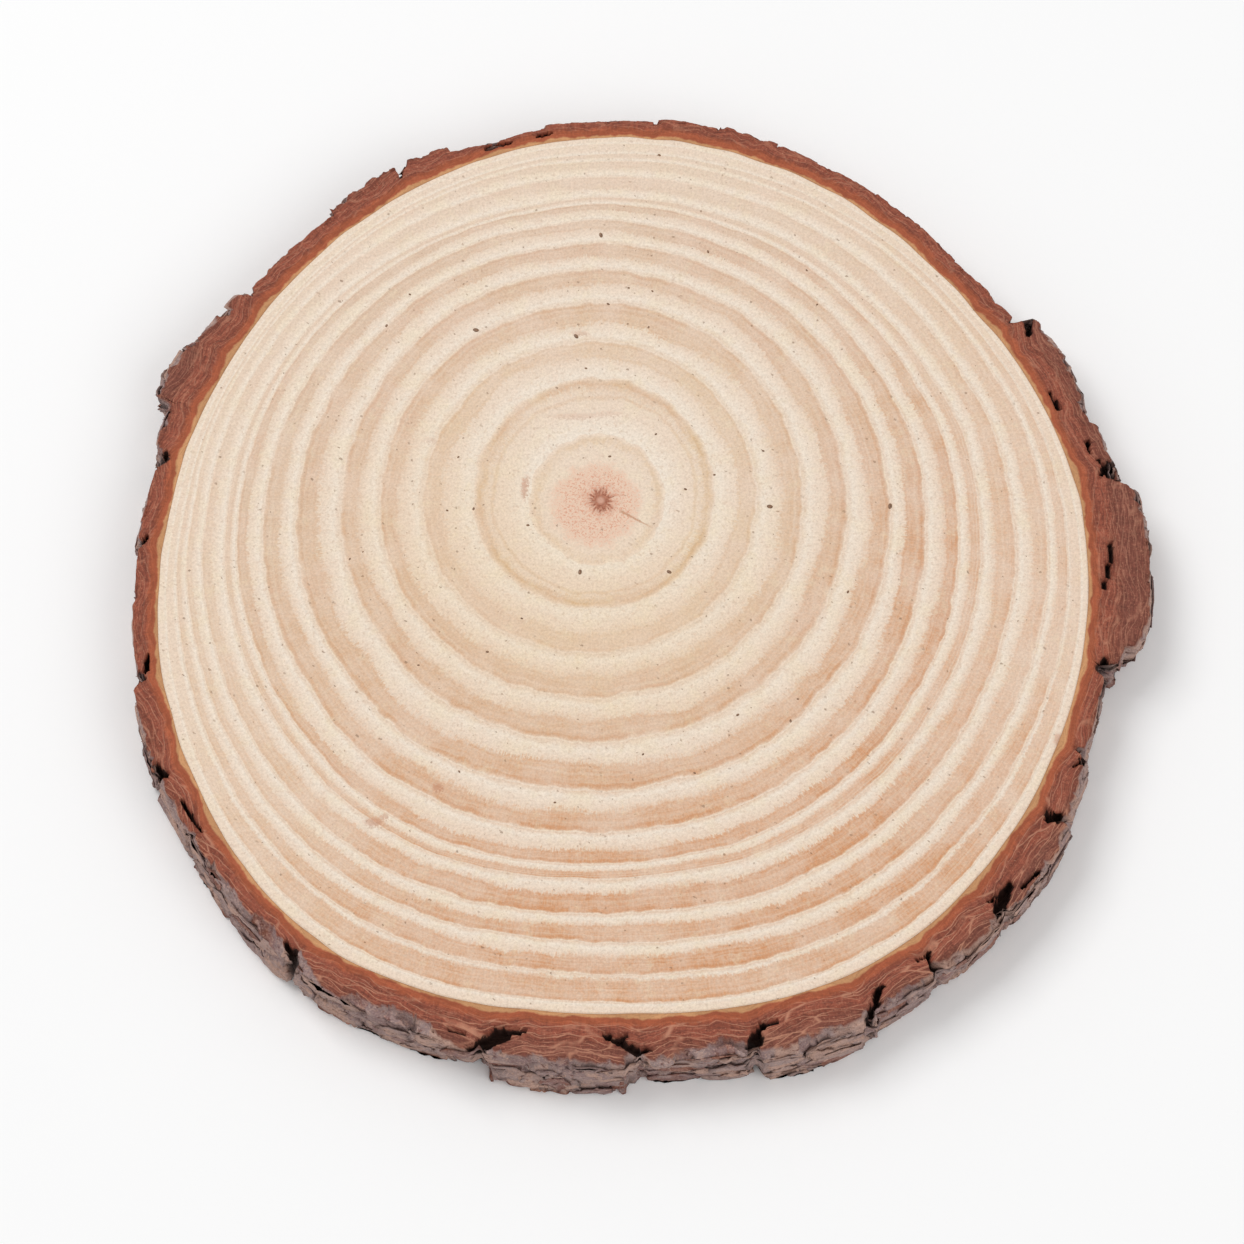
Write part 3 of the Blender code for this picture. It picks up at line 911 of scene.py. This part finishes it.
def sawn_pine():
    """Sanded end grain: yearly rings, rays, pores, the pith in its pink heart, and a fine check beside it."""
    finish = Finish("sawn_pine")
    place, flat, radius, direction = place_in_slice(finish)
    inner_rays = ray_noise(finish, direction, radius, 95.0, 0.8, 1.0)
    outer_rays = ray_noise(finish, direction, radius, 250.0, 0.7, 1.0)
    rays = Number(finish, finish.mix(finish.fade(radius, 26.0, 36.0), inner_rays, outer_rays))
    teeth = finish.noise(flat, 1.6, 3.0, 0.65)
    sway = finish.noise(flat, 0.13, 3.0, 0.55)
    cloud = finish.noise(place, 0.10, 3.0)
    grain = finish.noise(place, 3.0, 2.0, 0.7)
    fleck = finish.noise(place, 1.7, 2.0, 0.6)
    shake = (sway - 0.5) * 0.20 + (finish.noise(flat, 0.42, 2.0, 0.5) - 0.5) * 0.16
    shake = shake * finish.fade(finish.attribute("year"), 13.0, 13.9, 1.0, 0.0)
    year = finish.attribute("year") + shake
    year = finish.math("MAXIMUM", finish.math("MINIMUM", year, len(YEARS) + 0.98), 0.02)
    late, part, patch = latewood(finish, year, flat, direction, rays, teeth)
    # toward the lower right the latewood is warm and dark, toward the upper left it is pale
    slope = finish.vector("DOT_PRODUCT", direction, LOWER_RIGHT)
    outer = finish.fade(radius, 24.0, 56.0)
    warm = finish.fade(slope, -0.2, 0.9) * outer
    cool = finish.fade(slope, 0.2, -0.8) * outer
    faint = finish.fade(slope, 0.1, -0.7) * finish.fade(finish.attribute("year"), 8.6, 10.5)
    late = late * finish.fade(faint, 0.0, 1.0, 1.0, 0.84)
    heart = finish.fade(radius, 32.0, 14.0)
    brown = finish.mix(heart, finish.mix(warm, LATEWOOD, WARM_LATEWOOD), HEART_LATEWOOD)
    brown = finish.mix(cool, brown, COOL_LATEWOOD)
    brown = finish.tint(brown, PINK_LATEWOOD, cloud, 0.45, 0.62, 0.5)
    pale = finish.mix(finish.fade(part, 0.0, 0.5), PALE_EARLYWOOD, EARLYWOOD)
    pale = finish.tint(pale, STRAW, patch, 0.45, 0.7, 0.6)
    pale = finish.tint(pale, FLECK, fleck, 0.53, 0.70, 0.44)
    base = finish.mix(finish.math("MINIMUM", late, 1.15), pale, brown)
    tint = finish.noise(place, 0.55, 3.0, 0.65)
    base = finish.tint(base, TINT_PINK, tint, 0.54, 0.72, 0.30)
    base = finish.tint(base, TINT_STRAW, tint, 0.46, 0.28, 0.30)
    low = finish.vector("DOT_PRODUCT", direction, LOWER_LEFT)
    where = finish.math("MAXIMUM", late * 0.9, finish.fade(radius, 44.0, 24.0))
    where = where * finish.fade(radius, 4.0, 12.0)
    base = finish.mix(finish.fade(low, -0.5, 0.8, 0.0, 0.9) * where, base, LOW_TINT, "MULTIPLY")
    base = heart_and_pith(finish, base, flat, radius, direction, grain, fleck)
    check = check_line(finish, flat, grain)
    base = finish.mix(check, base, CHECK_BROWN)
    pores = resin_pores(finish, flat, fleck)
    base = finish.mix(pores * 0.62, base, RESIN_BROWN)
    base = stains(finish, flat, grain, base)
    shade = finish.fade(grain, 0.25, 0.75, 0.88, 1.075) * finish.fade(teeth, 0.3, 0.7, 0.965, 1.02)
    base = finish.scaled(base, shade)
    finish.bumps((rays, 0.25, 0.00004), (late, 0.3, 0.00003), (grain, 0.35, 0.00004),
                 (1.0 - finish.math("MAXIMUM", check, pores), 0.5, 0.0001))
    roughness = finish.fade(late, 0.0, 1.0, 0.68, 0.56)
    return finish.finish(base, roughness, 0.25)


def heart_and_pith(finish, base, flat, radius, direction, grain, fleck):
    """The pink speckled heart, a little lower left of the pith, and the pith: a ragged, pale-hearted star."""
    place = finish.vector("SUBTRACT", flat, (-0.7, -0.7, 0.0))
    wander = finish.noise(flat, 0.45, 3.0, 0.6) - 0.5
    off = finish.vector("LENGTH", place) + wander * 4.0 + (fleck - 0.5) * 3.0
    base = finish.tint(base, HEART_PINK, off, 7.2, 4.8, 0.80)
    circles = abs(finish.math("FRACT", off * 1.3) - 0.5)
    spotty = finish.fade(grain, 0.46, 0.58) * finish.fade(off, 7.0, 4.4)
    spotty = spotty * finish.fade(circles, 0.0, 0.5, 1.0, 0.35)
    base = finish.mix(spotty * 0.80, base, HEART_SPECK)
    spokes = ray_noise(finish, direction, radius, 5.0, 0.8, 2.0)
    reach = radius + (spokes - 0.5) * 3.4 + (grain - 0.5) * 1.2
    near = finish.fade(reach, 3.2, 1.4) * finish.fade(grain, 0.3, 0.6, 0.45, 0.9)
    base = finish.mix(near * 0.6, base, HEART_SPECK)
    star = finish.fade(reach, 1.9, 1.0) * finish.fade(grain, 0.3, 0.65, 1.0, 0.62)
    base = finish.mix(star, base, PITH_BROWN)
    middle = radius + (grain - 0.5) * 0.8
    return finish.tint(base, PITH_MIDDLE, middle, 0.75, 0.25, 0.85)


def check_line(finish, flat, grain):
    """The drying check beside the pith: a thin wedge from 3 to 9 mm out, toward a bearing of 330 degrees."""
    along = finish.vector("DOT_PRODUCT", flat, CHECK_ALONG)
    across = finish.vector("DOT_PRODUCT", flat, CHECK_ACROSS)
    across = across + (grain - 0.5) * 0.5
    half = finish.fade(along, 3.0, 9.0, 0.17, 0.05)
    inside = half - abs(across)
    line = finish.fade(inside, -0.08, 0.07)
    span = finish.fade(along, 2.9, 3.5) * finish.fade(along, 6.0, 9.4, 1.0, 0.0)
    return line * span * 0.8


def resin_pores(finish, flat, fleck):
    """Small resin canals: a ragged dot in some of the cells, 3.4 mm wide ones and 1.6 mm wide ones."""
    total = 0.0
    ragged = (fleck - 0.5) * 0.9
    place = finish.vector("ADD", flat, finish.joined(ragged, ragged * -0.6, 0.0))
    for size, reach, chance in ((3.4, 0.16, 0.34), (1.6, 0.10, 0.16)):
        inputs = {"Vector": place, "Scale": 1 / size}
        node = finish.add("ShaderNodeTexVoronoi", inputs, voronoi_dimensions="2D")
        pick = finish.add("ShaderNodeSeparateColor", {"Color": node.outputs["Color"]})
        strength = finish.fade(pick.outputs[1], 0.0, 1.0, 0.35, 1.0)
        away = node.outputs["Distance"]
        dot = finish.fade(away, reach * 0.55 / size, reach * 1.35 / size, 1.0, 0.0)
        dot = dot * finish.math("LESS_THAN", pick.outputs[0], chance)
        total = finish.math("MAXIMUM", total, dot * strength)
    return total


# Resin stains: x and y from the pith, half the width, half the height, all in mm, and how strong.
STAINS = (
    (-31.0, -47.0, 1.4, 0.7, 0.50), (-29.6, -46.2, 0.6, 0.5, 0.45), (-22.3, -42.1, 0.8, 0.7, 0.50),
    (63.2, -35.2, 0.8, 1.0, 0.50), (-10.7, 1.6, 0.45, 1.7, 0.50), (-10.3, 2.9, 0.4, 1.0, 0.35),
    (-3.4, 12.6, 3.6, 0.5, 0.22), (1.0, 13.0, 2.4, 0.4, 0.16), (-24.0, 9.0, 1.0, 0.5, 0.16),
    (-3.0, 25.2, 1.4, 0.4, 0.30),
)
STAIN_BROWN = colour(188, 124, 92)


def stains(finish, flat, grain, base):
    """The resin stains: upright or flat ovals with ragged rims, each fading out at its rim."""
    rough = finish.scaled(finish.joined(grain - 0.5, 0.5 - grain, 0.0), 1.6)
    place = finish.vector("ADD", flat, rough)
    for x, y, wide, tall, strength in STAINS:
        span = finish.vector("SUBTRACT", place, (x, y, 0.0))
        span = finish.vector("DIVIDE", span, (wide, tall, 1.0))
        span = finish.vector("MULTIPLY", span, (1.0, 1.0, 0.0))
        inside = finish.fade(finish.vector("LENGTH", span), 1.3, 0.5)
        base = finish.mix(inside * strength, base, STAIN_BROWN)
    return base


AMBER_BAST = colour(208, 154, 108)
ORANGE_BAST = colour(170, 91, 62)
BARK_BROWN = colour(144, 78, 60)
DARK_BARK = colour(98, 56, 47)
OUTER_BARK = colour(126, 74, 61)
PALE_CORK = colour(222, 182, 162)
CORK_LINE = colour(208, 150, 122)
WEATHERED_GREY = colour(160, 138, 134)
WEATHERED_LILAC = colour(146, 120, 118)
WEATHERED_TAN = colour(188, 152, 136)
WEATHERED_RED = colour(140, 90, 74)
# near black painted as shade in crevices, cracks and under flakes
CREVICE_SHADE_BLACK = colour(38, 26, 23)


def weathered_bark(finish, place, tone, crevice_shade):
    """The outside of the bark: grey, lilac, tan and red-brown scales, fine streaks, and painted shade that
    darkens its crevices to near black.
    """
    cloud = finish.noise(place, 0.35, 4.0, 0.6)
    streak = finish.noise(finish.vector("MULTIPLY", place, (1.0, 1.0, 2.6)), 0.9, 4.0, 0.65)
    fine = finish.noise(place, 3.6, 3.0, 0.65)
    key = tone * 0.6 + cloud * 0.5
    base = finish.ramp(key, [(0.26, WEATHERED_RED), (0.40, WEATHERED_LILAC), (0.55, WEATHERED_GREY),
                             (0.70, WEATHERED_TAN), (0.85, WEATHERED_GREY)])
    base = finish.tint(base, DARK_BARK, streak, 0.45, 0.34, 0.7)
    base = finish.tint(base, WEATHERED_TAN, streak, 0.54, 0.66, 0.5)
    base = finish.tint(base, PALE_CORK, fine, 0.50, 0.72, 0.5)
    base = finish.tint(base, DARK_BARK, fine, 0.46, 0.28, 0.5)
    # painted shade: crevices darken to near black
    return finish.tint(base, CREVICE_SHADE_BLACK, crevice_shade, 0.2, 1.0, 0.93), streak, fine


def lamina_lines(finish, level, girth, spacing, width):
    """Thin wavering lines along the bark, one every `spacing` mm outward, fading out here and there."""
    wave = finish.noise(girth, 0.085, 2.0, 0.5)
    turns = (level + (wave - 0.5) * 7.0) / spacing
    away = abs(finish.math("FRACT", turns) - 0.5)
    own = finish.vector("ADD", girth, finish.joined(0.0, 0.0, finish.math("FLOOR", turns) * 9.0))
    strength = finish.fade(finish.noise(own, 0.22, 2.0), 0.42, 0.58, 0.12, 1.0)
    return finish.fade(away, 0.0, width / spacing, 1.0, 0.0) * strength, turns


# The sawn bark's colours from its inner edge outward. A place is (mm from the wood's edge + 1) / 8.
BARK_LAYERS = (
    (0.0, AMBER_BAST), (0.135, AMBER_BAST), (0.17, ORANGE_BAST), (0.26, ORANGE_BAST),
    (0.34, BARK_BROWN), (0.52, BARK_BROWN), (0.75, OUTER_BARK),
)


def bark_seams(finish, place, level):
    """Cork seams where the bark's layers branch: the rims of flat cells, bent by noise, faint in places."""
    lens = finish.joined(finish.attribute("girth_x") * 0.085,
                         finish.attribute("girth_y") * 0.085,
                         level * 0.62)
    inputs = {"Vector": place, "Scale": 0.16, "Detail": 2.0}
    bend = finish.add("ShaderNodeTexNoise", inputs).outputs["Color"]
    bend = finish.scaled(finish.vector("SUBTRACT", bend, (0.5, 0.5, 0.5)), 0.7)
    inputs = {"Vector": finish.vector("ADD", lens, bend), "Scale": 1.0}
    rim = finish.add("ShaderNodeTexVoronoi", inputs, feature="DISTANCE_TO_EDGE").outputs[0]
    faint = finish.fade(finish.noise(place, 0.4, 2.0), 0.35, 0.6, 0.35, 1.0)
    return finish.fade(rim, 0.0, 0.055, 1.0, 0.0) * faint


def layer_noise(finish, girth, around, level, outward, detail, roughness):
    """Noise over the sawn bark: `around` cells to a mm along it, and `outward` cells to a mm across it."""
    place = finish.vector("ADD", finish.scaled(girth, around), finish.joined(0.0, 0.0, level * outward))
    return finish.noise(place, 1.0, detail, roughness)


def bark_finish():
    """The bark: its sawn faces and its weathered side, told apart by the piece's own numbers.

    Sawn, it goes outward from amber bast through orange inner bark to red-brown layers parted by pale cork.
    """
    finish = Finish("pine_bark")
    outward = finish.attribute("outward")
    weather = finish.attribute("weather")
    crevice_shade = finish.attribute("crevice_shade")
    tone = finish.attribute("scale_tone")
    place, _, _, _ = place_in_slice(finish)
    girth = finish.joined(finish.attribute("girth_x"), finish.attribute("girth_y"), 0.0)
    sag = finish.attribute("sag")
    wave = finish.noise(girth, 0.5, 3.0) - 0.5
    speck = finish.noise(place, 3.4, 3.0, 0.7)
    away = outward + wave * 1.1 - sag * 0.42
    base = finish.ramp((away + 1.0) / 8.0, BARK_LAYERS)
    ripple = (finish.noise(place, 0.55, 2.0, 0.6) - 0.5) * 0.45
    level = outward + ripple - sag
    cork, turns = lamina_lines(finish, level, girth, 0.9, 0.11)
    cork = finish.math("MAXIMUM", cork, bark_seams(finish, place, level))
    inputs = {"W": finish.math("FLOOR", turns + 0.5)}
    layer = finish.add("ShaderNodeTexWhiteNoise", inputs, noise_dimensions="1D").outputs["Value"]
    fibre = layer_noise(finish, girth, 0.5, level, 5.0, 2.0, 0.6)
    hatch = layer_noise(finish, girth, 2.4, level, 0.7, 1.0, 0.5)
    in_bark = finish.fade(away, 0.9, 1.5)
    hatch = (hatch - 0.5) * finish.fade(away, 0.2, 1.8, 0.12, 0.75)
    base = finish.scaled(base, finish.fade(layer, 0.0, 1.0, 0.88, 1.10) + hatch)
    dark = finish.fade(fibre, 0.48, 0.66) * finish.fade(away, 0.7, 2.4, 0.2, 0.6)
    base = finish.mix(dark, base, DARK_BARK)
    light = finish.fade(fibre, 0.47, 0.32) * finish.fade(away, 0.7, 2.4, 0.08, 0.22)
    base = finish.mix(light, base, CORK_LINE)
    dusting = finish.fade(away, 0.4, 2.2, 0.3, 1.0)
    base = finish.mix(finish.fade(speck, 0.56, 0.74, 0.0, 0.55) * dusting, base, CORK_LINE)
    base = finish.mix(finish.fade(speck, 0.49, 0.30, 0.0, 0.7) * dusting, base, DARK_BARK)
    base = finish.mix(finish.fade(outward, 0.0, 0.25, 0.30, 0.0), base, BARK_BROWN)
    cork = cork * in_bark
    shown = finish.fade(finish.attribute("girth_y"), -15.0, -55.0, 0.30, 0.62)
    base = finish.mix(cork * shown, base, CORK_LINE)
    # painted shade: cracks and crevices in the sawn faces darken to near black, with ragged edges
    ragged_shade = crevice_shade + (speck - 0.5) * 0.9
    ragged_shade = finish.fade(ragged_shade, 0.25, 0.6) * finish.fade(crevice_shade, 0.02, 0.15)
    cut = finish.mix(ragged_shade * 0.93, base, CREVICE_SHADE_BLACK)
    outside, streak, fine = weathered_bark(finish, place, tone, crevice_shade)
    base = finish.mix(weather, cut, outside)
    finish.bumps((fibre, 0.35, 0.00012), (cork, 0.4, 0.00008), (speck, 0.6, 0.00012),
                 (streak, 0.4, 0.00025), (fine, 0.4, 0.00012))
    roughness = finish.fade(speck, 0.2, 0.8, 0.72, 0.9)
    return finish.finish(base, roughness, 0.2)


def flake_finish():
    """Dead papery flakes: the weathered bark's colours, with painted shade darkening their rims and their
    backs.
    """
    finish = Finish("papery_bark")
    place, _, _, _ = place_in_slice(finish)
    tone = finish.attribute("scale_tone")
    base, streak, fine = weathered_bark(finish, place, tone, finish.attribute("crevice_shade"))
    finish.bumps((streak, 0.5, 0.0002), (fine, 0.5, 0.00012))
    return finish.finish(base, finish.fade(fine, 0.2, 0.8, 0.7, 0.88), 0.25)


def resin_finish():
    """Dried resin: dark brown and a little glossy, with lighter clouds."""
    finish = Finish("dried_resin")
    place, _, _, _ = place_in_slice(finish)
    cloud = finish.noise(place, 5.0, 2.0)
    base = finish.mix(finish.fade(cloud, 0.3, 0.7), colour(104, 74, 54), colour(150, 112, 82))
    finish.bumps((cloud, 0.3, 0.00003))
    return finish.finish(base, finish.fade(cloud, 0.3, 0.7, 0.35, 0.5), 0.5)


# ---------------- floor, light and camera


# The floor's width and its gap below the slice, in metres, and how bright the surroundings are.
FLOOR_SIZE = 6.0
FLOOR_GAP = 0.00005
STUDIO_BRIGHTNESS = 0.52


def make_floor():
    """A wide pale floor, just below the slice."""
    bpy.ops.mesh.primitive_plane_add(size=FLOOR_SIZE, location=(0.0, 0.0, cad_low.z - FLOOR_GAP))
    floor = bpy.context.object
    floor.name = "floor"
    finish = Finish("white_floor")
    floor.data.materials.append(finish.finish(grey(0.97), 0.8, 0.1))


def make_light(name, place, size, power):
    """A square soft light aimed at the slice."""
    lamp = bpy.data.lights.new(name, "AREA")
    lamp.size = size
    lamp.energy = power
    light = bpy.data.objects.new(name, lamp)
    light.location = place
    light.rotation_euler = (-Vector(place)).to_track_quat("-Z", "Y").to_euler()
    bpy.context.scene.collection.objects.link(light)


def light_scene():
    """Even white surroundings, with two soft boxes overhead."""
    world = bpy.data.worlds.new("studio")
    world.use_nodes = True
    background = world.node_tree.nodes["Background"]
    background.inputs["Color"].default_value = grey(1.0)
    background.inputs["Strength"].default_value = STUDIO_BRIGHTNESS
    bpy.context.scene.world = world
    make_light("key", (-0.55, 0.45, 1.1), 0.7, 7.2)
    make_light("fill", (0.6, -0.5, 0.9), 0.8, 3.2)
    bpy.context.scene.view_settings.view_transform = "Standard"


CAMERA_ELEVATION = 71.0
CAMERA_LENS = 150.0
CAMERA_DISTANCE = 0.7194
# Where the camera looks: a point of the upper face, in mm from the pith.
CAMERA_TARGET = (3.0, -18.0)


def make_camera():
    """A long lens that looks down at the upper face."""
    camera = bpy.data.cameras.new("camera")
    camera.lens = CAMERA_LENS
    camera.clip_start, camera.clip_end = 0.01, 50.0
    holder = bpy.data.objects.new("camera", camera)
    elevation = math.radians(CAMERA_ELEVATION)
    back = Vector((0.0, -math.cos(elevation), math.sin(elevation)))
    target = PITH + Vector((CAMERA_TARGET[0], CAMERA_TARGET[1], THICKNESS)) * MM
    holder.location = target + back * CAMERA_DISTANCE
    holder.rotation_euler = (-back).to_track_quat("-Z", "Y").to_euler()
    bpy.context.scene.collection.objects.link(holder)
    bpy.context.scene.camera = holder


# ---------------- putting it together


def build():
    """Makes every piece, and says what it rides on."""
    make_camera()
    light_scene()
    make_floor()
    for make, look, slot in (
        (make_sawn_wood, sawn_pine, "sawn_wood"),
        (make_bark, bark_finish, "bark"),
        (make_bark_flakes, flake_finish, "bark"),
        (make_resin_specks, resin_finish, "sawn_wood"),
    ):
        piece = make()
        piece.data.materials.append(look())
        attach(piece, "root")
        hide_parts("wood_slice")


build()
